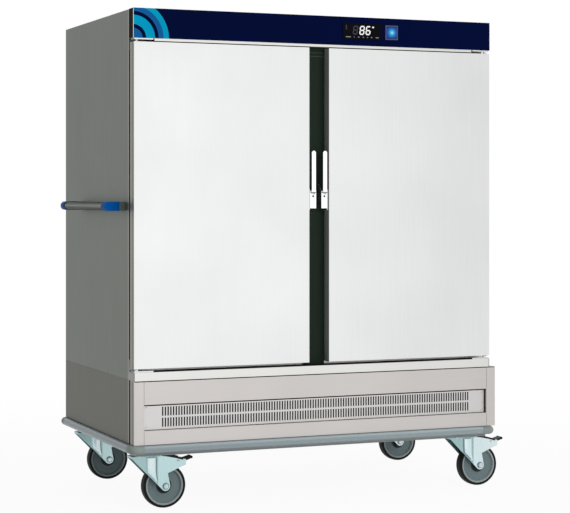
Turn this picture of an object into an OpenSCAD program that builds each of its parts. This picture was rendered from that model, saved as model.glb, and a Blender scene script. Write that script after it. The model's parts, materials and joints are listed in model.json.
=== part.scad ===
// Two-door proofing cabinet on swivel casters: an insulated upper cabinet over
// a machine base, with all parts as separate pieces in their working places.
// X runs from the left side to the right, Y from the door fronts to the back, Z up from the floor.

/* [Cabinet] */
// Width of the insulated cabinet over its side faces
cab_w = 1420; // [1380:10:1500]
// Depth from the door fronts to the back face
cab_d = 890; // [850:10:1000]
// Height from the underside of the base to the top
cab_h = 1540; // [1400:10:1660]
// Thickness of the insulated walls
wall_t = 60; // [50:1:70]
// Thickness of the steel sheet
sheet_t = 2; // [1:0.5:2.5]
// Width of the air duct between the two compartments
duct_w = 120; // [110:2:160]
// Height of the insulated floor over the base
floor_t = 73; // [64:1:90]
// Height of the header over the door openings
header_h = 145; // [135:1:170]

/* [Doors] */
// Thickness of a door
door_t = 47; // [42:1:55]
// Gap above and below the doors
door_gap = 12.5; // [10:0.5:15]
// Width of the open channel between the doors
channel_w = 79; // [74:1:90]
// Gap between the door backs and the cabinet front
seal_t = 13.5; // [10:0.5:16]
// Width of the door seal
seal_w = 14; // [10:1:16]
// Running gap between the seal and the cabinet front
seal_clear = 0.3; // [0.2:0.1:0.6]
// Distance of the hinge pins from the outer edge and the front face of a door
pivot_inset = 14; // [13:1:17]
// Diameter of the hinge pins
pin_d = 8; // [6:0.5:9]
// Radial running clearance of the pins and shafts
run_clear = 0.05; // [0.02:0.01:0.09]
// Depth of the hinge pins in the doors
pin_depth = 22; // [16:1:30]
// Length of a hinge bracket from the outer edge
hinge_l = 72; // [40:1:80]
// Depth of a hinge bracket
hinge_w = 36; // [30:1:42]
// Thickness of a hinge bracket
hinge_t = 5; // [3:0.5:6]

/* [Door latches] */
// Width of a latch body
latch_w = 24; // [20:1:26]
// Height of a latch body
latch_h = 64; // [56:1:76]
// Height of the middle of the latch bodies over the floor
latch_z = 1105; // [1000:5:1200]
// Length of the levers over the latch bodies
lever_l = 147; // [120:1:180]
// Width of a lever
lever_w = 16; // [12:1:17]
// Thickness of a lever
lever_t = 9; // [6:1:11]
// How far a lever stands out in front of its latch body
lever_proud = 7; // [5:0.5:8]
// Diameter of the pin that a lever turns on
lever_pin_d = 5; // [4:0.5:6]
// Thickness of the pad that holds a latch body to its door edge
pad_t = 5; // [3:0.5:6]
// How far the dark post between the doors stands out from the cabinet front
post_proud = 20; // [15:0.5:20]

/* [Sill and fascia] */
// Height of the sill under the doors
sill_h = 31; // [28:1:45]
// Height of the fascia over the doors
fascia_h = 106; // [96:1:125]
// Overhang of the fascia at each end
fascia_over = 3; // [1:0.5:5]
// Height of the bright rail that shows under the fascia
rail_h = 9; // [6:0.5:9.5]
// Thickness of the coloured fascia panel
fascia_t = 2; // [1:0.5:3]
// Width of the display
display_w = 160; // [120:5:190]
// Height of the display
display_h = 60; // [50:1:70]
// Distance of the display from the middle of the cabinet
display_off = 174; // [150:2:190]
// Width of the rocker switch frame
switch_w = 52; // [44:1:60]
// Height of the rocker switch frame
switch_h = 54; // [46:1:64]
// Distance of the switch from the middle of the cabinet
switch_off = 294; // [290:2:340]
// Thickness of the display and of the switch frame
trim_t = 3; // [2:0.5:4]
// Width of the rim of the switch frame
frame_w = 5; // [4:0.5:7]
// Gap around the moving rocker
rocker_clear = 0.5; // [0.3:0.1:1]

/* [Base] */
// Height of the machine base
base_h = 226; // [200:2:260]
// Overhang of the base past the right side of the cabinet
base_over = 25; // [15:1:30]
// Depth of the front frame of the base
frame_t = 45; // [38:1:52]
// Width of the columns at both ends of the front frame
column_w = 37; // [30:1:50]
// Height of the front frame over the louvres
rail_top = 84; // [70:1:95]
// Height of the front frame under the louvres
rail_low = 51; // [40:1:60]
// Depth of the louvre panel behind the front frame
recess = 14; // [8:1:20]
// Width of a louvre slot
slot_w = 5; // [4:0.2:6]
// Height of a louvre slot
slot_h = 32; // [24:1:34]
// Distance from one slot to the next
slot_pitch = 10.2; // [9:0.1:14]
// Gap between the two rows of slots
slot_gap = 7; // [5:1:12]
// Plain margin at both ends of the slot rows
slot_margin = 67; // [40:1:100]
// Inset of the shadow gap behind the front frame and the fascia
neck_inset = 12; // [8:1:16]
// Number of air slots in the back of the base
vent_count = 16; // [8:1:24]
// Distance from one air slot to the next
vent_pitch = 40; // [24:2:48]
// Width of an air slot
vent_w = 8; // [5:1:12]
// Distance of the air slots from the lower and the upper edge of the base
vent_in = 60; // [40:5:80]

/* [Power inlet] */
// Distance of the power inlet from the right side
inlet_in = 120; // [60:5:200]
// Diameter of the cord hole
cord_d = 12; // [8:0.5:14]
// Diameter of the gland
gland_d = 28; // [22:1:34]
// Length of the gland
gland_l = 16; // [12:1:24]

/* [Chassis and bumper] */
// Size of the square chassis tubes
tube_a = 40; // [36:1:50]
// Wall of the chassis tubes
tube_t = 3; // [2:0.5:4]
// Diameter of the bumper rail
bumper_d = 30; // [26:1:34]
// How far the bumper stands out past the cabinet sides
bumper_out = 20; // [16:1:24]
// Length of the straight ends of a bumper corner
corner_leg = 24; // [16:1:40]
// Small gap that keeps curved parts apart
part_clear = 0.3; // [0.2:0.1:0.5]

/* [Casters] */
// Diameter of the wheels
wheel_d = 160; // [150:1:175]
// Height of a caster over its wheel, up to the top of its plate
caster_over = 40; // [37:1:55]
// Width of the wheels
wheel_w = 40; // [34:1:44]
// Thickness of the tyres
tyre_t = 10; // [7:1:14]
// Distance of the wheel axle from the swivel axis
trail = 61; // [52:1:64]
// Distance of the left casters from the left side
caster_left = 80; // [76:1:100]
// Distance of the right casters from the right side
caster_right = 62; // [62:1:90]
// Distance of the casters from the front and from the back
caster_in = 100; // [90:1:130]
// Length of a top plate
plate_l = 100; // [90:1:102]
// Width of a top plate
plate_w = 85; // [76:1:95]
// Thickness of a top plate
plate_t = 5; // [4:0.5:6]
// Diameter of the swivel pin
king_d = 16; // [12:1:20]
// Diameter of the wheel axle
axle_d = 12; // [10:1:14]
// Thickness of the fork sides
fork_t = 4; // [3:0.5:5]
// Gap between the fork sides
fork_gap = 52; // [48:1:58]
// Height of the pin of a brake pedal over the wheel
pedal_over = 8; // [8:0.5:9]
// Reach of the brake pedal tip from the swivel axis
pedal_reach = 168; // [164:1:176]
// Width of a brake pedal
pedal_w = 34; // [28:1:42]
// Diameter of the pin that a brake pedal turns on
pedal_pin_d = 6; // [5:0.5:7]

/* [Push handle] */
// Diameter of the handle tube
handle_d = 28; // [22:1:29]
// Distance of the tube from the side face
handle_out = 62; // [56:1:70]
// Height of the handle over the floor
handle_z = 1081.5; // [900:0.5:1200]
// Distance of the front bracket from the door fronts
handle_front = 122; // [100:1:200]
// Distance of the rear bracket from the door fronts
handle_rear = 660; // [500:5:780]
// Height of a bracket
bracket_h = 33; // [32:1:44]
// Length of a bracket along the tube
bracket_l = 45; // [30:1:50]
// Length of the foot between a bracket and the side panel
foot_l = 20; // [12:1:26]

/* [Tray racks] */
// Number of tray levels in a compartment
levels = 12; // [6:1:12]
// Distance from one tray level to the next
level_pitch = 85; // [76:1:86]
// Height of the lowest tray level over the compartment floor
first_level = 60; // [40:5:70]
// Width of a tray runner
runner_w = 28; // [20:1:30]
// Thickness of a tray runner
runner_t = 3; // [2:0.5:4]
// Size of the square rack posts
post_a = 15; // [12:1:20]
// Distance of the rack posts from the front and from the back of a compartment
post_in = 90; // [70:5:150]
// Distance of the runners from the front and from the back of a compartment
runner_in = 50; // [20:5:60]

/* [Fan and humidifier] */
// Diameter of the fan wheel
fan_d = 150; // [120:5:170]
// Height of the fan wheel
fan_h = 50; // [40:1:60]
// Number of blades
blades = 16; // [8:1:20]
// Diameter of the fan motor
motor_d = 96; // [80:2:110]
// Height of the fan motor
motor_h = 90; // [70:1:90]
// Height of the fan wheel over the motor
fan_lift = 12; // [8:1:14]
// Diameter of the fan shaft
shaft_d = 10; // [8:1:12]
// Length of the water tray
tray_l = 420; // [300:10:460]
// Width of the water tray
tray_w = 300; // [200:10:340]
// Height of the water tray
tray_h = 70; // [50:5:90]
// Distance of the water tray from the left side
tray_x = 150; // [80:5:170]
// Diameter of the heating rod
rod_d = 10; // [8:1:12]

/* [Hidden] */
$fn = 48;

// Levels of the stacked parts over the floor
caster_h = wheel_d + caster_over;
base_z = caster_h + tube_a;
sill_z = base_z + base_h;
door_z0 = sill_z + sill_h + door_gap;
top_z = base_z + cab_h;
fascia_z = top_z - fascia_h;
door_z1 = fascia_z - door_gap;
inside_z0 = sill_z + floor_t;
inside_z1 = top_z - header_h;
louvre_z0 = base_z + rail_low;
louvre_z1 = sill_z - rail_top;
fascia_mid = fascia_z + fascia_h / 2;

// Places along the width and the depth
mid_x = cab_w / 2;
base_w = cab_w + base_over;
door_w = (cab_w - channel_w) / 2;
bush_l = pin_depth + 4;
flange_t = 1.5;
case_y = door_t + seal_t;
inside_y1 = cab_d - wall_t;
fan_y = cab_d / 2;
air_in = 10;
duct_x0 = mid_x - duct_w / 2;
duct_x1 = mid_x + duct_w / 2;

// Chassis outline and bumper
frame_x0 = bumper_d + part_clear - bumper_out;
frame_x1 = cab_w - frame_x0;
frame_y0 = frame_x0;
frame_y1 = cab_d - frame_y0;
bumper_z = base_z - bumper_d / 2 - 0.5;
bumper_r = bumper_d / 2 + part_clear;

// Casters: swivel places, and the heights of their parts
casters = [
    [caster_left, caster_in], [cab_w - caster_right, caster_in],
    [caster_left, cab_d - caster_in], [cab_w - caster_right, cab_d - caster_in]
];
gland_floor = 4;
race_h = 4;
crown_z1 = caster_h - plate_t - race_h;
crown_t = 7;
crown_back = 65;
crown_front = 40;
nut_h = 8;
wheel_r = wheel_d / 2;
bracket_out = handle_out + bracket_h / 2;
wing_reach = pedal_reach - 30;
pedal_x = wing_reach - 30;
pedal_z = wheel_d + pedal_over;

// The origin is the middle of the footprint, on the floor
x_min = -bracket_out;
x_max = cab_w - caster_right + pedal_reach;
origin = [(x_min + x_max) / 2, cab_d / 2, 0];

steel = [0.80, 0.80, 0.79];
zinc = [0.62, 0.70, 0.72];
dark = [0.10, 0.12, 0.11];

module place() translate(-origin) children();

// A block between two opposite corners
module block(a, b) translate(a) cube(b - a);

// An open-ended frame of sheet around a rectangle in the XZ plane
module ring(x0, x1, z0, z1, y0, y1, t) {
    difference() {
        block([x0, y0, z0], [x1, y1, z1]);
        block([x0 + t, y0 - 1, z0 + t], [x1 - t, y1 + 1, z1 - t]);
    }
}

// Places its children on both sides of the middle, mirrored on the right
module mirrored_right() translate([cab_w, 0, 0]) mirror([1, 0, 0]) children();

// ---- Chassis, bumper and base ----

module tube_x(x0, x1, y, z) difference() {
    block([x0, y, z], [x1, y + tube_a, z + tube_a]);
    block([x0 + tube_t, y + tube_t, z + tube_t], [x1 - tube_t, y + tube_a - tube_t, z + tube_a - tube_t]);
}

module tube_y(y0, y1, x, z) difference() {
    block([x, y0, z], [x + tube_a, y1, z + tube_a]);
    block([x + tube_t, y0 + tube_t, z + tube_t], [x + tube_a - tube_t, y1 - tube_t, z + tube_a - tube_t]);
}

module chassis_frame() place() color(steel) {
    for (y = [frame_y0, frame_y1 - tube_a]) tube_x(frame_x0, frame_x1, y, caster_h);
    for (x = [frame_x0, mid_x - tube_a / 2, frame_x1 - tube_a])
        tube_y(frame_y0 + tube_a, frame_y1 - tube_a, x, caster_h);
    for (c = casters) block(
        [max(c.x - plate_l / 2, frame_x0 + tube_a), max(c.y - plate_w / 2, frame_y0 + tube_a), caster_h],
        [min(c.x + plate_l / 2, frame_x1 - tube_a), min(c.y + plate_w / 2, frame_y1 - tube_a),
         caster_h + plate_t]
    );
}

// A straight length of bumper along X, with the web that holds it to the chassis
module bumper_run(length) {
    translate([0, -bumper_r, 0]) rotate([0, 90, 0]) cylinder(d = bumper_d, h = length);
    translate([0, -bumper_r, -bumper_d / 4]) cube([length, bumper_r, bumper_d / 2]);
}

module bumper_rails() place() color([0.58, 0.63, 0.63]) {
    for (back = [0, 1])
        translate([frame_x0 + corner_leg, back == 0 ? frame_y0 : frame_y1, bumper_z])
            mirror([0, back, 0]) bumper_run(frame_x1 - frame_x0 - 2 * corner_leg);
    for (left = [0, 1])
        translate([left == 0 ? frame_x1 : frame_x0, frame_y0 + corner_leg, bumper_z])
            mirror([left, 0, 0]) rotate([0, 0, 90]) bumper_run(frame_y1 - frame_y0 - 2 * corner_leg);
}

// One corner of the bumper, with its bend around the chassis corner
module bumper_corner() {
    rotate([0, 0, 180]) rotate_extrude(angle = 90) translate([bumper_r, 0]) circle(d = bumper_d);
    translate([-bumper_r, 0, 0]) rotate([-90, 0, 0]) cylinder(d = bumper_d, h = corner_leg);
    translate([0, -bumper_r, 0]) rotate([0, 90, 0]) cylinder(d = bumper_d, h = corner_leg);
}

module bumper_corners() place() color([0.50, 0.55, 0.54]) {
    for (x = [0, 1], y = [0, 1])
        translate([x == 0 ? frame_x0 : frame_x1, y == 0 ? frame_y0 : frame_y1, bumper_z])
            mirror([x, 0, 0]) mirror([0, y, 0]) bumper_corner();
}

module base_front_frame() place() color(steel) difference() {
    union() {
        difference() {
            block([0, 0, base_z], [base_w, frame_t, sill_z]);
            block([sheet_t, sheet_t, base_z + sheet_t],
                  [base_w - sheet_t, frame_t - sheet_t, sill_z - sheet_t]);
            block([neck_inset + sheet_t, sheet_t, base_z + neck_inset + sheet_t],
                  [base_w - neck_inset - sheet_t, frame_t + 1, sill_z - neck_inset - sheet_t]);
        }
        ring(column_w - sheet_t, base_w - column_w + sheet_t, louvre_z0 - sheet_t, louvre_z1 + sheet_t,
             0, recess, sheet_t);
        ring(neck_inset, base_w - neck_inset, base_z + neck_inset, sill_z - neck_inset,
             frame_t - sheet_t, case_y + 15, sheet_t);
    }
    block([column_w, -1, louvre_z0], [base_w - column_w, recess + 1, louvre_z1]);
}

module louvre_panel() place() color([0.76, 0.76, 0.75]) {
    count = floor((base_w - 2 * column_w - 2 * slot_margin + slot_pitch - slot_w) / slot_pitch);
    start = base_w / 2 - ((count - 1) * slot_pitch + slot_w) / 2;
    mid_z = (louvre_z0 + louvre_z1) / 2;
    translate([0, recess + sheet_t, 0]) rotate([90, 0, 0]) linear_extrude(sheet_t) difference() {
        translate([column_w - sheet_t, louvre_z0 - sheet_t])
            square([base_w - 2 * column_w + 2 * sheet_t, louvre_z1 - louvre_z0 + 2 * sheet_t]);
        for (i = [0 : count - 1], row = [0, 1])
            translate([start + i * slot_pitch, mid_z + (row == 0 ? -slot_gap / 2 - slot_h : slot_gap / 2)])
                square([slot_w, slot_h]);
    }
}

module base_side_left() place() color(steel) {
    block([0, case_y, base_z], [sheet_t, cab_d, sill_z]);
    block([0, case_y, base_z], [neck_inset, case_y + sheet_t, sill_z]);
}

module base_side_right() place() color(steel) {
    block([base_w - sheet_t, case_y, base_z], [base_w, cab_d, sill_z]);
    block([base_w - neck_inset, case_y, base_z], [base_w, case_y + sheet_t, sill_z]);
    block([cab_w, case_y, sill_z - sheet_t], [base_w, cab_d - sheet_t, sill_z]);
}

// The floor of the base and its back, folded from one sheet
module base_tray() place() color(steel) {
    block([sheet_t, case_y + sheet_t, base_z], [base_w - sheet_t, cab_d - sheet_t, base_z + sheet_t]);
    difference() {
        block([sheet_t, cab_d - sheet_t, base_z], [base_w - sheet_t, cab_d, sill_z]);
        for (i = [0 : vent_count - 1])
            translate([mid_x + (i - (vent_count - 1) / 2) * vent_pitch - vent_w / 2,
                       cab_d - sheet_t - 1, base_z + vent_in])
                cube([vent_w, sheet_t + 2, base_h - 2 * vent_in]);
    }
}

// A flanged gland for the power cord, low on the back
module power_inlet() place() color(dark)
    translate([cab_w - inlet_in, cab_d, base_z + base_h / 2]) rotate([-90, 0, 0]) difference() {
        union() {
            cylinder(d = 2 * gland_d, h = gland_floor + 1);
            cylinder(d = gland_d, h = gland_l);
        }
        translate([0, 0, gland_floor]) cylinder(d = cord_d, h = gland_l);
    }

// ---- Upper cabinet ----

module cabinet_floor() place() color(steel) difference() {
    union() {
        block([sheet_t, 0, sill_z], [cab_w - sheet_t, case_y, sill_z + sill_h]);
        block([sheet_t, case_y, sill_z], [cab_w - sheet_t, cab_d - sheet_t, inside_z0]);
    }
    block([2 * sheet_t, sheet_t, sill_z + sheet_t],
          [cab_w - 2 * sheet_t, case_y + 2 * sheet_t, sill_z + sill_h - sheet_t]);
    block([2 * sheet_t, case_y + sheet_t, sill_z + sheet_t],
          [cab_w - 2 * sheet_t, cab_d - 2 * sheet_t, inside_z0 - sheet_t]);
    block([duct_x0 + air_in, fan_y - fan_d / 2, sill_z - 1],
          [duct_x1 - air_in, fan_y + fan_d / 2, inside_z0 + 1]);
}

// Side skin: the face, the front lip beside the doors, and the end of the sill
module side_skin() {
    block([0, case_y, sill_z], [sheet_t, cab_d, top_z]);
    block([0, 0, sill_z], [sheet_t, case_y, sill_z + sill_h]);
    block([0, case_y, inside_z0], [wall_t, case_y + sheet_t, inside_z1]);
}

module side_panel_left() place() color(steel) side_skin();

module side_panel_right() place() color(steel) mirrored_right() side_skin();

module back_panel() place() color(steel)
    block([sheet_t, cab_d - sheet_t, sill_z], [cab_w - sheet_t, cab_d, top_z - sheet_t]);

module roof_panel() place() color(steel) {
    block([sheet_t, case_y, top_z - sheet_t], [cab_w - sheet_t, cab_d, top_z]);
    block([sheet_t, case_y, inside_z1], [cab_w - sheet_t, case_y + sheet_t, top_z]);
}

module insulation_slabs() place() color([0.93, 0.88, 0.68]) {
    foam_y = case_y + sheet_t;
    for (x = [sheet_t, cab_w - wall_t + sheet_t])
        block([x, foam_y, inside_z0], [x + wall_t - 2 * sheet_t, cab_d - sheet_t, top_z - sheet_t]);
    block([wall_t, inside_y1 + part_clear, inside_z0], [cab_w - wall_t, cab_d - sheet_t, top_z - sheet_t]);
    block([wall_t, foam_y, inside_z1 + sheet_t], [cab_w - wall_t, inside_y1, top_z - sheet_t]);
}

module inner_liner() place() color([0.84, 0.84, 0.83]) {
    for (x = [wall_t - sheet_t, cab_w - wall_t])
        block([x, case_y + sheet_t, inside_z0], [x + sheet_t, inside_y1, inside_z1]);
    block([wall_t - sheet_t, inside_y1 - sheet_t, inside_z0],
          [cab_w - wall_t + sheet_t, inside_y1, inside_z1]);
    block([wall_t - sheet_t, case_y + sheet_t, inside_z1],
          [cab_w - wall_t + sheet_t, inside_y1, inside_z1 + sheet_t]);
}

// The hollow wall between the compartments carries the warm moist air to both
module centre_duct() place() color([0.84, 0.84, 0.83]) {
    hole_d = 24;
    hole_step = 90;
    duct_y0 = case_y + sheet_t;
    duct_y1 = inside_y1 - sheet_t;
    block([duct_x0, case_y, inside_z0], [duct_x1, duct_y0, inside_z1]);
    for (x = [duct_x0, duct_x1 - sheet_t]) difference() {
        block([x, duct_y0, inside_z0], [x + sheet_t, duct_y1, inside_z1]);
        for (y = [duct_y0 + 100, duct_y1 - 100], i = [1 : floor((inside_z1 - inside_z0) / hole_step) - 1])
            translate([x - 1, y, inside_z0 + i * hole_step]) rotate([0, 90, 0])
                cylinder(d = hole_d, h = sheet_t + 2);
    }
}

// Dark post in the open channel between the doors
module centre_post() place() color(dark) {
    post_w = channel_w - 5;
    block([mid_x - post_w / 2, case_y - post_proud, sill_z + sill_h],
          [mid_x + post_w / 2, case_y, fascia_z - rail_h]);
}

// Folded housing behind the fascia, with the bright rail under it between the hinge brackets
module fascia_housing() place() color(steel) {
    x0 = -fascia_over;
    x1 = cab_w + fascia_over;
    y0 = fascia_t;
    rail_in = hinge_l + 4;
    rail_z = fascia_z - rail_h;
    difference() {
        union() {
            block([x0, y0, fascia_z], [x1, door_t, top_z]);
            block([rail_in, y0, rail_z], [cab_w - rail_in, door_t, fascia_z]);
        }
        block([x0 + sheet_t, y0 + sheet_t, fascia_z + sheet_t],
              [x1 - sheet_t, door_t - sheet_t, top_z - sheet_t]);
        block([rail_in + sheet_t, y0 + sheet_t, rail_z + sheet_t],
              [cab_w - rail_in - sheet_t, door_t - sheet_t, fascia_z + sheet_t + 1]);
        block([neck_inset, y0 + sheet_t, fascia_z + neck_inset],
              [cab_w - neck_inset, door_t + 1, top_z - neck_inset]);
        switch_hole(y0 - 1, y0 + sheet_t + 1);
    }
    ring(neck_inset - sheet_t, cab_w - neck_inset + sheet_t, fascia_z + neck_inset - sheet_t,
         top_z - neck_inset + sheet_t, door_t - sheet_t, case_y, sheet_t);
}

// The opening in the front sheets behind the rocker
module switch_hole(y0, y1) {
    half_w = switch_w / 2 - frame_w;
    half_h = switch_h / 2 - frame_w;
    block([mid_x + switch_off - half_w, y0, fascia_mid - half_h],
          [mid_x + switch_off + half_w, y1, fascia_mid + half_h]);
}

module fascia_panel() place() color([0.03, 0.06, 0.23]) difference() {
    block([-fascia_over, 0, fascia_z], [cab_w + fascia_over, fascia_t, top_z]);
    switch_hole(-1, fascia_t + 1);
}

module display_window() place() color([0.02, 0.03, 0.05]) block(
    [mid_x + display_off - display_w / 2, -trim_t, fascia_mid - display_h / 2],
    [mid_x + display_off + display_w / 2, 0, fascia_mid + display_h / 2]);

module switch_frame() place() color([0.55, 0.58, 0.60]) difference() {
    block([mid_x + switch_off - switch_w / 2, -trim_t, fascia_mid - switch_h / 2],
          [mid_x + switch_off + switch_w / 2, 0, fascia_mid + switch_h / 2]);
    switch_hole(-trim_t - 1, 1);
}

// The rocker turns about a level pin in its middle and has a rounded front
module rocker_switch() place() color([0.28, 0.66, 0.86]) {
    rocker_w = switch_w - 2 * frame_w - 2 * rocker_clear;
    rocker_h = switch_h - 2 * frame_w - 2 * rocker_clear - 2;
    proud = trim_t + 3;
    curve_r = 60 + proud;
    translate([mid_x + switch_off - rocker_w / 2, 0, fascia_mid]) intersection() {
        translate([0, -proud, -rocker_h / 2]) cube([rocker_w, proud + 9, rocker_h]);
        translate([-1, curve_r - proud, 0]) rotate([0, 90, 0])
            cylinder(r = curve_r, h = rocker_w + 2, $fn = 180);
    }
}

// ---- Doors ----

// A door is drawn as the left one: hinged at its left edge
module door_skin() difference() {
    block([0, 0, door_z0], [door_w, door_t - sheet_t, door_z1]);
    block([sheet_t, sheet_t, door_z0 + sheet_t], [door_w - sheet_t, door_t, door_z1 - sheet_t]);
    door_bores();
}

// The foamed core with its back sheet closes the skin
module door_core() difference() {
    union() {
        block([sheet_t, sheet_t, door_z0 + sheet_t], [door_w - sheet_t, door_t - sheet_t, door_z1 - sheet_t]);
        block([0, door_t - sheet_t, door_z0], [door_w, door_t, door_z1]);
    }
    door_bores();
}

// Round pockets for the hinge bushes
module door_bores() {
    for (z = [door_z0 - 1, door_z1 - bush_l])
        translate([pivot_inset, pivot_inset, z]) cylinder(d = pin_d + 8, h = bush_l + 1);
}

module door_bushes() {
    for (top = [0, 1])
        translate([pivot_inset, pivot_inset, top == 0 ? door_z0 : door_z1]) mirror([0, 0, top]) difference() {
            union() {
                cylinder(d = pin_d + 8, h = bush_l);
                translate([0, 0, -flange_t]) cylinder(d = pin_d + 14, h = flange_t);
            }
            translate([0, 0, -2]) cylinder(d = pin_d + 2 * run_clear, h = pin_depth + 3);
        }
}

module door_seal() {
    hinge_in = pivot_inset + 3;
    free_in = 3;
    edge_in = 6;
    difference() {
        block([hinge_in, door_t, door_z0 + edge_in],
              [door_w - free_in, case_y - seal_clear, door_z1 - edge_in]);
        block([hinge_in + seal_w, door_t - 1, door_z0 + edge_in + seal_w],
              [door_w - free_in - seal_w, case_y, door_z1 - edge_in - seal_w]);
    }
}

module door_left_skin() place() color(steel) door_skin();
module door_left_core() place() color([0.86, 0.86, 0.84]) door_core();
module door_left_seal() place() color(dark) door_seal();
module door_left_bushes() place() color([0.35, 0.36, 0.36]) door_bushes();
module door_right_skin() place() color(steel) mirrored_right() door_skin();
module door_right_core() place() color([0.86, 0.86, 0.84]) mirrored_right() door_core();
module door_right_seal() place() color(dark) mirrored_right() door_seal();
module door_right_bushes() place() color([0.35, 0.36, 0.36]) mirrored_right() door_bushes();

// The corner hinges: flat brackets on the sill and under the fascia, with upright pins
module hinge_corners() for (side = [0, 1]) translate([side * cab_w, 0, 0]) mirror([side, 0, 0]) children();

module hinge_brackets() place() color(zinc) hinge_corners()
    for (z = [sill_z + sill_h, fascia_z - hinge_t]) difference() {
        block([1, fascia_t, z], [hinge_l, hinge_w, z + hinge_t]);
        translate([pivot_inset, pivot_inset, z - 1]) cylinder(d = pin_d + 2 * run_clear, h = hinge_t + 2);
    }

module hinge_pins() place() color(zinc) hinge_corners() translate([pivot_inset, pivot_inset, 0]) {
    reach = door_gap + pin_depth - 2;
    washer_h = door_gap - hinge_t - flange_t - part_clear;
    translate([0, 0, sill_z + sill_h]) cylinder(d = pin_d, h = reach);
    translate([0, 0, sill_z + sill_h + hinge_t]) cylinder(d = pin_d + 6, h = washer_h);
    translate([0, 0, fascia_z - reach]) cylinder(d = pin_d, h = reach);
}

// ---- Latches: a body on the door edge, a lever on a cross pin, a strike on the post ----

latch_y0 = 4;
latch_y1 = case_y - post_proud - 5.5;
latch_z0 = latch_z - latch_h / 2;
latch_z1 = latch_z + latch_h / 2;
hub_r = lever_pin_d;
lever_y = latch_y0 + hub_r - 1;
lever_z = latch_z1 - hub_r;
ear_h = 26;

module latch_body() {
    x0 = door_w + pad_t;
    cheek = (latch_w - lever_w) / 2 - part_clear;
    block([door_w, latch_y0 + 4, latch_z0 - 6], [x0, latch_y1 - 4, latch_z1 + 6]);
    difference() {
        block([x0, latch_y0, latch_z0], [x0 + latch_w, latch_y1, latch_z1]);
        block([x0 + cheek, latch_y0 - 1, lever_z - hub_r - 3],
              [x0 + latch_w - cheek, lever_y + hub_r + 1, latch_z1 + 1]);
    }
    for (x = [x0, x0 + latch_w - cheek]) translate([x, 0, 0]) rotate([90, 0, 90]) linear_extrude(cheek)
        polygon([[latch_y0 + 3, latch_z1], [latch_y1, latch_z1], [latch_y1, latch_z1 + ear_h]]);
    translate([x0, lever_y, lever_z]) rotate([0, 90, 0]) cylinder(d = lever_pin_d, h = latch_w);
}

// The lever bar with its hub at the foot and its rounded tip
module latch_lever() {
    front = latch_y0 - lever_proud;
    tip_z = latch_z1 + lever_l - lever_w / 2;
    translate([door_w + pad_t + (latch_w - lever_w) / 2, 0, 0]) difference() {
        union() {
            translate([0, lever_y, lever_z]) rotate([0, 90, 0]) cylinder(r = hub_r, h = lever_w);
            block([0, front, lever_z], [lever_w, front + lever_t, tip_z]);
            translate([lever_w / 2, front + lever_t, tip_z]) rotate([90, 0, 0])
                cylinder(d = lever_w, h = lever_t);
        }
        translate([-1, lever_y, lever_z]) rotate([0, 90, 0])
            cylinder(d = lever_pin_d + 2 * run_clear, h = lever_w + 2);
    }
}

module latch_left_body() place() color(zinc) latch_body();
module latch_left_lever() place() color([0.9, 0.9, 0.9]) latch_lever();
module latch_right_body() place() color(zinc) mirrored_right() latch_body();
module latch_right_lever() place() color([0.9, 0.9, 0.9]) mirrored_right() latch_lever();

module latch_strikes() place() color(zinc) hinge_corners()
    block([door_w + pad_t + 2, latch_y1 + 1, latch_z0 + 8],
          [door_w + pad_t + latch_w - 2, case_y - post_proud, latch_z1 - 8]);

// ---- Push handle on the left side ----

module handle_tube() place() color([0.45, 0.46, 0.45])
    translate([-handle_out, handle_front, handle_z]) rotate([-90, 0, 0]) difference() {
        span = handle_rear - handle_front;
        cylinder(d = handle_d, h = span);
        translate([0, 0, sheet_t]) cylinder(d = handle_d - 2 * sheet_t, h = span - 2 * sheet_t);
    }

// Each bracket is a round head over the tube end, an arm and a foot on the side panel
module handle_brackets() place() color([0, 0.28, 0.60]) {
    half_l = bracket_l / 2;
    half_h = bracket_h / 2;
    for (y = [handle_front, handle_rear]) translate([0, y, handle_z]) difference() {
        union() {
            translate([-handle_out, -half_l, 0]) rotate([-90, 0, 0]) cylinder(d = bracket_h, h = bracket_l);
            block([-handle_out, -half_l, -half_h], [-foot_l, half_l, half_h]);
            block([-foot_l, 1 - half_l, 1 - half_h], [0, half_l - 1, half_h - 1]);
        }
        translate([-handle_out, y == handle_front ? 0 : -bracket_l, 0]) rotate([-90, 0, 0])
            cylinder(d = handle_d + 2 * run_clear, h = bracket_l);
    }
}

// ---- Inside: racks, fan and humidifier ----

// Each wall of a compartment has two upright posts and its runners; a wall is [place, faces left]
module tray_racks() place() color([0.75, 0.76, 0.76])
    for (wall = [[wall_t, 0], [duct_x0, 1], [duct_x1, 0], [cab_w - wall_t, 1]])
        translate([wall[0], 0, inside_z0]) mirror([wall[1], 0, 0]) {
            for (y = [case_y + post_in, inside_y1 - post_in - post_a])
                block([0, y, 0], [post_a, y + post_a, inside_z1 - inside_z0 - 20]);
            for (i = [0 : levels - 1]) translate([0, 0, first_level + i * level_pitch])
                block([post_a + part_clear, case_y + runner_in, 0],
                      [post_a + runner_w, inside_y1 - runner_in, runner_t]);
        }

// The fan blows the warm moist air of the base up into the duct
module motor_axis() translate([mid_x, fan_y, base_z + sheet_t]) children();

module fan_motor() place() color([0.25, 0.26, 0.27]) motor_axis() {
    cylinder(d = motor_d + 30, h = 4);
    cylinder(d = motor_d, h = motor_h);
    cylinder(d = shaft_d + 10, h = motor_h + fan_lift - part_clear);
    cylinder(d = shaft_d, h = motor_h + fan_lift + fan_h - 6);
}

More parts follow.
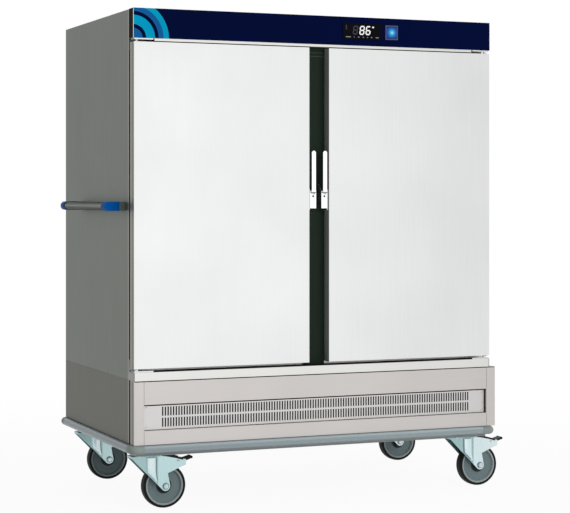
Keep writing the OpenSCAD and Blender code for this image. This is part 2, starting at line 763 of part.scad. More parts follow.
module fan_wheel() place() color([0.72, 0.73, 0.74]) motor_axis() translate([0, 0, motor_h + fan_lift]) {
    hub_h = fan_h - 10;
    blade_l = 20;
    ring_w = 22;
    difference() {
        union() {
            cylinder(d = fan_d, h = sheet_t);
            cylinder(d = shaft_d + 14, h = hub_h);
            translate([0, 0, fan_h - sheet_t]) difference() {
                cylinder(d = fan_d, h = sheet_t);
                translate([0, 0, -1]) cylinder(d = fan_d - 2 * ring_w, h = sheet_t + 2);
            }
            for (i = [1 : blades]) rotate([0, 0, i * 360 / blades])
                translate([fan_d / 2 - blade_l, 0, sheet_t / 2]) rotate([0, 0, 35])
                    translate([-sheet_t, -sheet_t / 2, 0]) cube([blade_l, sheet_t, fan_h - sheet_t]);
        }
        translate([0, 0, -1]) cylinder(d = shaft_d + 2 * run_clear, h = fan_h + 2);
    }
}

module water_tray() place() color([0.78, 0.79, 0.79])
    translate([tray_x, fan_y - tray_w / 2, base_z + sheet_t]) difference() {
        cube([tray_l, tray_w, tray_h]);
        translate([sheet_t, sheet_t, sheet_t]) cube([tray_l - 2 * sheet_t, tray_w - 2 * sheet_t, tray_h]);
    }

// A rod bent to a U on two feet that stand in the water tray
module heating_rod() place() color([0.55, 0.42, 0.34]) {
    rod_in = 30;
    foot_h = 24;
    bend_r = tray_w / 2 - 50;
    run = tray_l - bend_r - 2 * rod_in;
    translate([tray_x + rod_in, fan_y, base_z + 2 * sheet_t + foot_h]) {
        for (s = [-1, 1]) {
            translate([0, s * bend_r, 0]) rotate([0, 90, 0]) cylinder(d = rod_d, h = run);
            translate([20, s * bend_r, -foot_h]) cylinder(d = rod_d + 4, h = foot_h);
        }
        translate([run, 0, 0]) rotate([0, 0, -90]) rotate_extrude(angle = 180)
            translate([bend_r, 0]) circle(d = rod_d);
    }
}

// ---- Casters ----

module caster_plates() place() color(zinc) {
    for (c = casters) translate([c.x, c.y, 0]) {
        block([-plate_l / 2, -plate_w / 2, caster_h - plate_t], [plate_l / 2, plate_w / 2, caster_h]);
        translate([0, 0, crown_z1 + part_clear]) cylinder(d = 64, h = race_h);
        translate([0, 0, crown_z1 - crown_t - nut_h - part_clear]) {
            cylinder(d = king_d, h = crown_t + nut_h + race_h);
            cylinder(d = king_d + 10, h = nut_h);
        }
    }
}

// Outline of a fork side in the plane of the wheel, from the swivel axis. The axle boss is an arc;
// a braked fork has a wing out to the pedal, the other one a plain shoulder.
boss_r = 17;
function fork_outline(braked) = concat(
    [[-crown_back, crown_z1], [-crown_back, crown_z1 - crown_t]],
    [for (a = [225 : 15 : 375]) [trail + boss_r * cos(a), wheel_r + boss_r * sin(a)]],
    [[trail + 8, wheel_r + 46]],
    braked
        ? [[wing_reach - 20, pedal_z - 22], [wing_reach, pedal_z - 15], [wing_reach, pedal_z + 5]]
        : [[trail + 26, wheel_r + 54], [trail + 34, wheel_r + 70], [trail + 30, crown_z1 - 6]],
    [[crown_front, crown_z1]]
);

module fork(c, braked) place() color(zinc) translate([c.x, c.y, 0]) {
    half = fork_gap / 2;
    nut_t = 6;
    nut_d = axle_d + 7;
    for (y = [-half, half + fork_t]) translate([0, y, 0]) rotate([90, 0, 0])
        linear_extrude(fork_t) polygon(fork_outline(braked));
    difference() {
        block([-crown_back, -half - fork_t, crown_z1 - crown_t], [crown_front, half + fork_t, crown_z1]);
        translate([0, 0, crown_z1 - crown_t - 1]) cylinder(d = king_d + 2 * run_clear, h = crown_t + 2);
    }
    translate([trail, half + fork_t + nut_t, wheel_r]) rotate([90, 0, 0])
        cylinder(d = axle_d, h = fork_gap + 2 * fork_t + 2 * nut_t);
    for (y = [-half - fork_t - nut_t, half + fork_t])
        translate([trail, y, wheel_r]) rotate([-90, 0, 0]) cylinder(d = nut_d, h = nut_t, $fn = 6);
    if (braked) {
        translate([pedal_x, half, pedal_z]) rotate([90, 0, 0]) cylinder(d = pedal_pin_d, h = fork_gap);
        translate([0, half, 0]) rotate([90, 0, 0]) linear_extrude(fork_gap)
            polygon([[crown_front, crown_z1], [pedal_x - 10, pedal_z + 13],
                     [pedal_x - 10, pedal_z + 10], [crown_front, crown_z1 - 3]]);
    }
}

// Places its children on the axle of a caster, with Z along the axle
module on_axle(c) place() translate([c.x + trail, c.y, wheel_r]) rotate([90, 0, 0]) children();

// Wheel centre: hub, thin disc and rim
module wheel(c) on_axle(c) color([0.45, 0.52, 0.54]) rotate_extrude($fn = 96) {
    bore = axle_d / 2 + run_clear;
    rim_r = wheel_r - tyre_t;
    rim_half = wheel_w / 2 - 3;
    hub_half = fork_gap / 2 - 1;
    polygon([
        [bore, -hub_half], [22, -hub_half], [24, -7], [rim_r - 9, -5],
        [rim_r - 6, -rim_half], [rim_r, -rim_half], [rim_r, rim_half], [rim_r - 6, rim_half],
        [rim_r - 9, 5], [24, 7], [22, hub_half], [bore, hub_half]
    ]);
}

module tyre(c) on_axle(c) color([0.06, 0.06, 0.06]) rotate_extrude($fn = 96) {
    rim_r = wheel_r - tyre_t;
    half = wheel_w / 2;
    polygon([
        [rim_r, -half + 2], [rim_r + 2, -half], [wheel_r - 5, -half], [wheel_r - 1.5, -half + 4],
        [wheel_r, -half + 9], [wheel_r, half - 9], [wheel_r - 1.5, half - 4], [wheel_r - 5, half],
        [rim_r + 2, half], [rim_r, half - 2]
    ]);
}

// The brake pedal turns on its cross pin and presses its shoe towards the tyre.
// Its outline is drawn from that pin.
module pedal(c) place() color(dark) translate([c.x + pedal_x, c.y + pedal_w / 2, pedal_z]) {
    tread_x = pedal_reach - pedal_x - 5;
    wing_x = wing_reach - pedal_x;
    difference() {
        rotate([90, 0, 0]) linear_extrude(pedal_w) {
            polygon([
                [-7, -4], [6, -21], [14, -21], [wing_x, -4],
                [tread_x, 5], [tread_x, 13], [wing_x, 6], [0, 7], [-7, 2]
            ]);
            translate([tread_x, 9]) circle(d = 10);
        }
        translate([0, 1, 0]) rotate([90, 0, 0]) cylinder(d = pedal_pin_d + 2 * run_clear, h = pedal_w + 2);
    }
}

module fork_front_left() fork(casters[0], true);
module wheel_front_left() wheel(casters[0]);
module tyre_front_left() tyre(casters[0]);
module pedal_front_left() pedal(casters[0]);
module fork_front_right() fork(casters[1], true);
module wheel_front_right() wheel(casters[1]);
module tyre_front_right() tyre(casters[1]);
module pedal_front_right() pedal(casters[1]);
module fork_rear_left() fork(casters[2], false);
module wheel_rear_left() wheel(casters[2]);
module tyre_rear_left() tyre(casters[2]);
module fork_rear_right() fork(casters[3], false);
module wheel_rear_right() wheel(casters[3]);
module tyre_rear_right() tyre(casters[3]);

chassis_frame();
bumper_rails();
bumper_corners();
base_front_frame();
louvre_panel();
base_side_left();
base_side_right();
base_tray();
cabinet_floor();
side_panel_left();
side_panel_right();
back_panel();
roof_panel();
insulation_slabs();
inner_liner();
centre_duct();
centre_post();
fascia_housing();
fascia_panel();
display_window();
switch_frame();
rocker_switch();
power_inlet();
tray_racks();
fan_motor();
fan_wheel();
heating_rod();
water_tray();
hinge_brackets();
hinge_pins();
latch_strikes();
door_left_skin();
door_left_core();
door_left_seal();
door_left_bushes();
latch_left_body();
latch_left_lever();
door_right_skin();
door_right_core();
door_right_seal();
door_right_bushes();
latch_right_body();
latch_right_lever();
handle_tube();
handle_brackets();
caster_plates();
fork_front_left();
wheel_front_left();
tyre_front_left();
pedal_front_left();
fork_front_right();
wheel_front_right();
tyre_front_right();
pedal_front_right();
fork_rear_left();
wheel_rear_left();
tyre_rear_left();
fork_rear_right();
wheel_rear_right();
tyre_rear_right();
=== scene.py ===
import json
from math import cos, pi, radians, sin

import bmesh
import bpy
from mathutils import Matrix, Vector

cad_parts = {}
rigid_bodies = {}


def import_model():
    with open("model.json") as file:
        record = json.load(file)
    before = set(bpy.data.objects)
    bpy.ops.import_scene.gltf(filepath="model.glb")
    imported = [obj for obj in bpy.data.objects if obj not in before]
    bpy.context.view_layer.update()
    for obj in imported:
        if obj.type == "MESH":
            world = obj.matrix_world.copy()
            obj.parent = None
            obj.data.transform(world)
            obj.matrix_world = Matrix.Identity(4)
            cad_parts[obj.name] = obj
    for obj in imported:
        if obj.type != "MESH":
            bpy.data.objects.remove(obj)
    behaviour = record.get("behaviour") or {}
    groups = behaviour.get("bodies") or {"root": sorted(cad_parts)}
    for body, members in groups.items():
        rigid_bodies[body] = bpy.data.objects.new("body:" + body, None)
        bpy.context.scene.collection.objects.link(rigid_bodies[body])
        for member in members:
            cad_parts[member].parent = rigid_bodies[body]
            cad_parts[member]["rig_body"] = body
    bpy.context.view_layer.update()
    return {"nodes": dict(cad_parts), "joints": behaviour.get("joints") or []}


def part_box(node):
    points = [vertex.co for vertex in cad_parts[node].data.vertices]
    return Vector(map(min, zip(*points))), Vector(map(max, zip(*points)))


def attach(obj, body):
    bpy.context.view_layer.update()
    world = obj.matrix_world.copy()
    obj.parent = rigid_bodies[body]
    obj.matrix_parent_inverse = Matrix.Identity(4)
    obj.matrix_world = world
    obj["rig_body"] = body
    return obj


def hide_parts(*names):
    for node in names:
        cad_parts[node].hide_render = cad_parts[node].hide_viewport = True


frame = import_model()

# ---- Studio ----
# The cabinet stands on a pale floor that fades into a white room. The camera
# looks level from the front left, with a long lens and a small vertical shift.
MM = 0.001
scene = bpy.context.scene
scene.view_settings.view_transform = "Standard"
nodes = frame["nodes"]

front_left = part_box("door_left_skin")[0].copy()
front_left.z = 0
camera_data = bpy.data.cameras.new("camera")
camera_data.lens = 109.7
camera_data.sensor_width = 36
camera_data.shift_y = -0.1046
camera = bpy.data.objects.new("camera", camera_data)
camera.location = front_left + Vector((-1860, -5827, 1115)) * MM
camera.rotation_euler = (radians(90), 0, radians(-22.67))
scene.collection.objects.link(camera)
scene.camera = camera


def wire(tree, kind, **values):
    """Adds a shader node; a value is a number, a colour or another node's socket."""
    made = tree.nodes.new("ShaderNode" + kind)
    for name, value in values.items():
        name = name.replace("_", " ")
        if name in made.inputs:
            socket = made.inputs[name]
        else:
            socket = made.inputs[int(name.split()[-1])] if name.startswith("in ") else None
        if socket is None:
            setattr(made, name.replace(" ", "_"), value)
        elif isinstance(value, bpy.types.NodeSocket):
            tree.links.new(value, socket)
        else:
            socket.default_value = value
    return made


def seen(tree):
    """1 for the rays that show the room: straight to the camera, in metal or through glass."""
    path = tree.nodes.new("ShaderNodeLightPath")
    glossy = wire(tree, "Math", operation="MAXIMUM",
                  in_0=path.outputs["Is Camera Ray"], in_1=path.outputs["Is Glossy Ray"])
    clear = wire(tree, "Math", operation="MAXIMUM",
                 in_0=glossy.outputs[0], in_1=path.outputs["Is Transmission Ray"])
    return clear.outputs[0]


def spread(tree, value, low, high, start=0.3, stop=0.7):
    """Carries a value that runs from start to stop over to low to high."""
    return wire(tree, "MapRange", Value=value, From_Min=start, From_Max=stop,
                To_Min=low, To_Max=high).outputs[0]


world = bpy.data.worlds.new("room")
world.use_nodes = True
scene.world = world
room = world.node_tree
lighting = room.nodes["Background"]
lighting.inputs["Color"].default_value = (1.0, 1.0, 1.0, 1)
room_side = wire(room, "SeparateXYZ", Vector=room.nodes.new("ShaderNodeTexCoord").outputs["Object"])
from_left = spread(room, room_side.outputs["X"], 0.2, 0.62, -0.9, 0.3)
room.links.new(from_left, lighting.inputs["Strength"])
white = wire(room, "Background", Color=(1, 1, 1, 1), Strength=1.0)
mixed = wire(room, "MixShader", in_0=seen(room),
             in_1=lighting.outputs[0], in_2=white.outputs[0])
room.links.new(mixed.outputs[0], room.nodes["World Output"].inputs["Surface"])

floor_mesh = bpy.data.meshes.new("floor")
form = bmesh.new()
bmesh.ops.create_circle(form, cap_ends=True, segments=64, radius=7)
form.to_mesh(floor_mesh)
form.free()
floor = bpy.data.objects.new("floor", floor_mesh)
scene.collection.objects.link(floor)
floor_finish = bpy.data.materials.new("floor_pale")
floor_finish.use_nodes = True
tree = floor_finish.node_tree
tree.nodes.remove(tree.nodes["Principled BSDF"])
matt = wire(tree, "BsdfDiffuse", Color=(0.86, 0.86, 0.86, 1))
glow = wire(tree, "Emission", Color=(1, 1, 1, 1), Strength=1.0)
clear = wire(tree, "BsdfTransparent")
place = tree.nodes.new("ShaderNodeTexCoord")
reach = wire(tree, "VectorMath", operation="LENGTH", in_0=place.outputs["Object"])
fade = spread(tree, reach.outputs["Value"], 0, 1, 1.0, 3.4)
share = wire(tree, "Math", operation="MULTIPLY", in_0=seen(tree), in_1=0.94)
pale = wire(tree, "MixShader", in_0=share.outputs[0],
            in_1=matt.outputs[0], in_2=glow.outputs[0])
faded = wire(tree, "MixShader", in_0=fade, in_1=pale.outputs[0], in_2=clear.outputs[0])
tree.links.new(faded.outputs[0], tree.nodes["Material Output"].inputs["Surface"])
floor_mesh.materials.append(floor_finish)

# A large soft key in front, a sheet of light that only shows in metal, and a weak
# lamp behind: place, width, height and power.
for name, spot, wide, high, power, in_metal in (
    ("key", (1.2, -4.9, 2.6), 3.0, 3.0, 80, False),
    ("sheen", (0.85, -5.2, 1.1), 3.3, 3.6, 15, True),
    ("back_fill", (1.5, 4.0, 3.0), 3.0, 3.0, 20, False),
):
    lamp = bpy.data.lights.new(name, "AREA")
    lamp.shape = "RECTANGLE"
    lamp.size, lamp.size_y = wide, high
    lamp.energy = power
    lamp_object = bpy.data.objects.new(name, lamp)
    lamp_object.location = spot
    aim = Vector((spot[0], 0, spot[2])) if in_metal else Vector((0, 0, 0.8))
    lamp_object.rotation_euler = (aim - Vector(spot)).to_track_quat("-Z", "Y").to_euler()
    lamp_object.visible_glossy = in_metal
    lamp_object.visible_camera = False
    scene.collection.objects.link(lamp_object)


# ---- Chassis ----
# Square steel tubes welded to a flat frame, grey coated. The caster plates bolt to
# the gussets in its corners; it shows only from low down.
GRAIN = {"x": (5, 320, 320), "z": (320, 320, 5)}


def principled(name):
    """A new node material, with its tree and its main shader."""
    made = bpy.data.materials.new(name)
    made.use_nodes = True
    return made, made.node_tree, made.node_tree.nodes["Principled BSDF"]


def object_noise(tree, scale, detail, grain=(1, 1, 1)):
    """Noise in Object coordinates; grain stretches it, in repeats to a metre along each axis."""
    place = tree.nodes.new("ShaderNodeTexCoord")
    drawn = wire(tree, "Mapping", Vector=place.outputs["Object"], Scale=grain)
    return wire(tree, "TexNoise", Vector=drawn.outputs[0], Scale=scale, Detail=detail).outputs[0]


def scaled(tree, colour, factor):
    """The colour times a factor."""
    return wire(tree, "VectorMath", operation="SCALE", in_0=colour, Scale=factor).outputs[0]


def tinted(tree, colour, noise, change):
    """The colour, made darker and lighter by the share `change` where the noise says."""
    return scaled(tree, colour, spread(tree, noise, 1 - change, 1 + change))


def surface(tree, shader, colour, rough, height, strength, distance=0.2 * MM):
    """Wires a main shader's colour, roughness and fine relief."""
    tree.links.new(colour, shader.inputs["Base Color"])
    tree.links.new(rough, shader.inputs["Roughness"])
    relief = wire(tree, "Bump", Strength=strength, Distance=distance, Height=height)
    tree.links.new(relief.outputs[0], shader.inputs["Normal"])


def bands(tree, factor, stops, interpolation="LINEAR"):
    """Colours along a factor: stops are (place, colour), from low to high."""
    made = tree.nodes.new("ShaderNodeValToRGB")
    tree.links.new(factor, made.inputs["Fac"])
    ramp = made.color_ramp
    ramp.interpolation = interpolation
    ramp.elements.remove(ramp.elements[1])
    ramp.elements[0].position, ramp.elements[0].color = stops[0]
    for at, colour in stops[1:]:
        ramp.elements.new(at).color = colour
    return made.outputs["Color"]


def ground_steel(name, colour, roughness, grain="z", metallic=1.0, edge=1.0):
    """Satin ground stainless sheet: fine long scratches over faint clouds."""
    made, tree, shader = principled(name)
    scratches = object_noise(tree, 1, 5, GRAIN[grain])
    clouds = object_noise(tree, 2.6, 3)
    cloudy = tinted(tree, colour, clouds, 0.03)
    streaked = scaled(tree, cloudy, spread(tree, scratches, 0.975, 1.02))
    rough = spread(tree, scratches, roughness - 0.05, roughness + 0.07, 0.25, 0.75)
    surface(tree, shader, streaked, rough, scratches, 0.12)
    shader.inputs["Metallic"].default_value = metallic
    shader.inputs["Specular Tint"].default_value = (edge, edge, edge, 1)
    return made


def piece(form, name, finish, body, stands_for=(), crease=40):
    """Makes an object of a finished bmesh: it rides a body and may stand for CAD nodes."""
    mesh = bpy.data.meshes.new(name)
    form.to_mesh(mesh)
    form.free()
    for material in finish if isinstance(finish, list) else [finish]:
        mesh.materials.append(material)
    mesh.shade_smooth()
    mesh.set_sharp_from_angle(angle=radians(crease))
    made = bpy.data.objects.new(name, mesh)
    scene.collection.objects.link(made)
    flatter = made.modifiers.new("flat_faces", "WEIGHTED_NORMAL")
    flatter.keep_sharp = True
    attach(made, body)
    if stands_for:
        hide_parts(*stands_for)
    return made


def merged_copy(node):
    """A bmesh of a CAD node, with its loose triangles joined into flat faces."""
    form = bmesh.new()
    form.from_mesh(nodes[node].data)
    bmesh.ops.remove_doubles(form, verts=form.verts, dist=0.002 * MM)
    bmesh.ops.dissolve_limit(form, angle_limit=radians(0.4), verts=form.verts, edges=form.edges)
    return form


def round_edges(form, radius, segments=2, sharper_than=35):
    """Rounds the outer and inner corners of a shape."""
    corners = [e for e in form.edges
               if e.is_manifold and e.calc_face_angle(0) > radians(sharper_than)]
    bmesh.ops.bevel(form, geom=corners, offset=radius, offset_type="OFFSET", affect="EDGES",
                    segments=segments, profile=0.5, material=-1, clamp_overlap=True)


def cut(form, point, normal, **how):
    """Cuts a shape along a plane."""
    whole = form.verts[:] + form.edges[:] + form.faces[:]
    bmesh.ops.bisect_plane(form, geom=whole, plane_co=point, plane_no=normal, **how)


def rounded(node, finish, radius, segments=2, returns=(None, None), reach=0.5 * MM, cuts=()):
    """Stands for a CAD node with the same shape and rounded edges; faces near its ends may differ.

    Cuts are upright planes across the depth, for lines that divide its faces.
    """
    form = merged_copy(node)
    round_edges(form, radius, segments)
    for depth in cuts:
        cut(form, (0, depth, 0), (0, 1, 0))
    finish = [finish]
    for end, other in enumerate(returns):
        if other:
            finish.append(other)
            end_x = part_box(node)[end].x
            outwards = (-1, 1)[end]
            for face in form.faces:
                inset = abs(face.calc_center_median().x - end_x)
                if face.normal.x * outwards > 0.98 and inset < reach:
                    face.material_index = len(finish) - 1
    return piece(form, node + "_formed", finish, nodes[node]["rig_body"], [node])


def second_finish(made, finish, picks):
    """Gives another finish to the faces of a piece that picks(normal, centre) chooses."""
    made.data.materials.append(finish)
    for face in made.data.polygons:
        if picks(face.normal, face.center):
            face.material_index = len(made.data.materials) - 1


def coat(node, finish):
    """Gives a CAD node that stays as it is a finish of its own."""
    mesh = nodes[node].data
    mesh.materials.clear()
    mesh.materials.append(finish)


chassis_grey = ground_steel("chassis_grey_coat", (0.26, 0.28, 0.28), 0.5, grain="x", metallic=0.3)
rounded("chassis_frame", chassis_grey, 1.2 * MM)

# ---- Bumper ----
# An extruded grey plastic rail all round the foot of the cabinet. Moulded corner
# pieces of a rougher, greener grey butt against its four straight lengths.


def moulded(name, colour, roughness, specular=0.5, grain=420, change=0.05, depth=0.08):
    """Moulded plastic: a fine leathery grain and slight colour changes."""
    made, tree, shader = principled(name)
    clouds = object_noise(tree, 6, 3)
    pores = object_noise(tree, grain, 2)
    rough = spread(tree, clouds, roughness - 0.04, roughness + 0.05)
    surface(tree, shader, tinted(tree, colour, clouds, change), rough, pores, depth, 0.3 * MM)
    shader.inputs["Specular IOR Level"].default_value = specular
    return made


def painted_highlight_bands(name, node, painted_levels, tint, roughness, metallic, grain):
    """A drawn profile with painted highlights and painted shade: its brightness changes over its
    height; painted_levels are (share, value).
    """
    made, tree, shader = principled(name)
    low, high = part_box(node)
    place = tree.nodes.new("ShaderNodeTexCoord")
    height = wire(tree, "SeparateXYZ", Vector=place.outputs["Object"]).outputs["Z"]
    share = spread(tree, height, 0, 1, low.z, high.z)
    stops = [(at, [value * part for part in tint] + [1]) for at, value in painted_levels]
    profile = bands(tree, share, stops)
    scratches = object_noise(tree, 1, 4, grain)
    rough = spread(tree, scratches, roughness - 0.05, roughness + 0.05)
    surface(tree, shader, tinted(tree, profile, scratches, 0.05), rough, scratches, 0.08)
    shader.inputs["Metallic"].default_value = metallic
    if metallic:
        shader.inputs["Specular Tint"].default_value = (0.3, 0.3, 0.3, 1)
    else:
        shader.inputs["Specular IOR Level"].default_value = 0.35
    return made


# The bumper rail's bands of brightness over its height are painted highlights and painted shade.
BUMPER_PAINTED_HIGHLIGHTS = ((0.0, 0.14), (0.12, 0.25), (0.28, 0.42), (0.45, 0.37),
                 (0.62, 0.34), (0.76, 0.42), (0.87, 0.56), (1.0, 0.36))
bumper_painted_bands = painted_highlight_bands("bumper_grey_painted_bands", "bumper_rails", BUMPER_PAINTED_HIGHLIGHTS, (0.86, 1.03, 1.09),
                     roughness=0.32, metallic=0.0, grain=(60, 60, 500))
corner_grey = moulded("bumper_corner_grey", (0.285, 0.335, 0.315), 0.6, depth=0.4, change=0.16)
rounded("bumper_rails", bumper_painted_bands, 1.0 * MM)
rounded("bumper_corners", corner_grey, 1.2 * MM)

# ---- Casters ----
# Four swivel casters: a pressed plate with four bolts, a fork of blue passivated
# steel with a rounded rib down each side, and a grey wheel with a black tyre.
passivated = ground_steel("caster_zinc_blue", (0.345, 0.505, 0.52), 0.30, metallic=0.85)
# Lit and shaded copies of the blue zinc: a painted highlight, painted half light and painted shade.
passivated_painted_highlight = ground_steel("caster_zinc_painted_highlight", (0.66, 0.78, 0.80), 0.28, metallic=0.85)
passivated_painted_half_light = ground_steel("caster_zinc_painted_half_light", (0.50, 0.68, 0.69), 0.28, metallic=0.85)
passivated_painted_shade = ground_steel("caster_zinc_painted_shade", (0.17, 0.26, 0.28), 0.34, metallic=0.85)
wheel_grey = moulded("wheel_grey_nylon", (0.165, 0.225, 0.235), 0.42, specular=0.35)
rim_grey = moulded("wheel_rim_grey", (0.36, 0.41, 0.41), 0.42, specular=0.35)
hub_painted_shade = moulded("wheel_hub_painted_shade", (0.02, 0.026, 0.026), 0.45, specular=0.2)
tyre_black = moulded("tyre_black_rubber", (0.010, 0.011, 0.011), 0.6,
                     specular=0.13, grain=700, depth=0.25)
pedal_black = moulded("pedal_black_plastic", (0.008, 0.009, 0.009), 0.45, specular=0.2)
bolt_zinc = ground_steel("bolt_zinc", (0.58, 0.62, 0.63), 0.28)

rounded("caster_plates", passivated, 0.8 * MM)
pivot = {joint["child"]: Vector(joint["pos_m"]) for joint in frame["joints"]}
plate_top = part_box("caster_plates")[1].z


def turned(profile, centre, steps=72):
    """Spins an outline of (radius, sideways) points, in millimetres, about a wheel axle."""
    form = bmesh.new()
    points = [form.verts.new((r * MM, side * MM, 0)) for r, side in profile]
    for a, b in zip(points, points[1:] + points[:1]):
        form.edges.new((a, b))
    bmesh.ops.spin(form, geom=form.verts[:] + form.edges[:], axis=(0, 1, 0), cent=(0, 0, 0),
                   angle=2 * pi, steps=steps, use_merge=True)
    bmesh.ops.remove_doubles(form, verts=form.verts, dist=0.001 * MM)
    bmesh.ops.recalc_face_normals(form, faces=form.faces)
    bmesh.ops.translate(form, verts=form.verts, vec=centre)
    return form


def both_sides(half):
    """Mirrors a half outline to the other side of the wheel's middle plane."""
    return half + [(r, -side) for r, side in reversed(half)]


def stud(form, centre, radius, height, direction, sides=24, dome=0.0):
    """Adds a round or six-sided head on a face, standing `height` proud along the direction."""
    made = bmesh.ops.create_cone(form, cap_ends=True, segments=sides, radius1=radius * MM,
                                 radius2=radius * (1 - dome) * MM, depth=height * MM)
    turn = Vector((0, 0, 1)).rotation_difference(Vector(direction)).to_matrix().to_4x4()
    place = Matrix.Translation(centre + Vector(direction) * height * MM / 2) @ turn
    bmesh.ops.transform(form, matrix=place, verts=made["verts"])


def slab(form, low, high):
    """Adds a block between two corners, in metres."""
    made = bmesh.ops.create_cube(form, size=1)
    low, high = Vector(low), Vector(high)
    bmesh.ops.scale(form, verts=made["verts"], vec=high - low)
    bmesh.ops.translate(form, verts=made["verts"], vec=(low + high) / 2)
    return made["verts"]


# Half outlines of a wheel and its tyre: radius and distance from the middle plane.
WHEEL_HALF = [(6.05, 24.5), (9, 25), (19, 25), (20.5, 23.5), (21.5, 12), (23, 9.5), (29, 8.5),
              (30, 7.2), (38, 6.6), (39, 7.6), (41, 7.6), (42, 6.4), (50, 6.2), (51, 7.2),
              (53, 7.2), (54, 6.2), (60, 6.6), (62.5, 10), (63.5, 15.5), (65, 17), (69.4, 17),
              (70, 16.4)]
TYRE_HALF = [(70, 17.5), (71, 19.2), (72.5, 20), (75, 20), (77.5, 18.6), (79, 15.5),
             (79.8, 10), (80, 4)]
RIM_INSIDE, HUB_OUTSIDE = 62 * MM, 29 * MM

# A pressed rib, from the top down: its left and right limits and its height, in
# millimetres from the swivel axis and the floor, and how far it stands out.
RIB_ROWS = [(-14, 28, 189, 2), (-14, 28, 184, 6), (-14, 28, 150, 6.5), (-12, 28, 133, 6.5),
            (-3, 28.5, 124, 6), (8, 29.5, 114, 5.5), (17, 31, 105, 4.5), (23, 32, 99, 0.4)]
RIB_STEPS = 48

# The bends of the black strip over each side of a braked fork, in millimetres from
# the swivel axis and the floor.
PEDAL_STRIP = ((40, 193.2), (62, 190.4), (96, 183.2), (126, 174.5))
AXLE_PROUD, PLATE_THICK = 6 * MM, 5 * MM

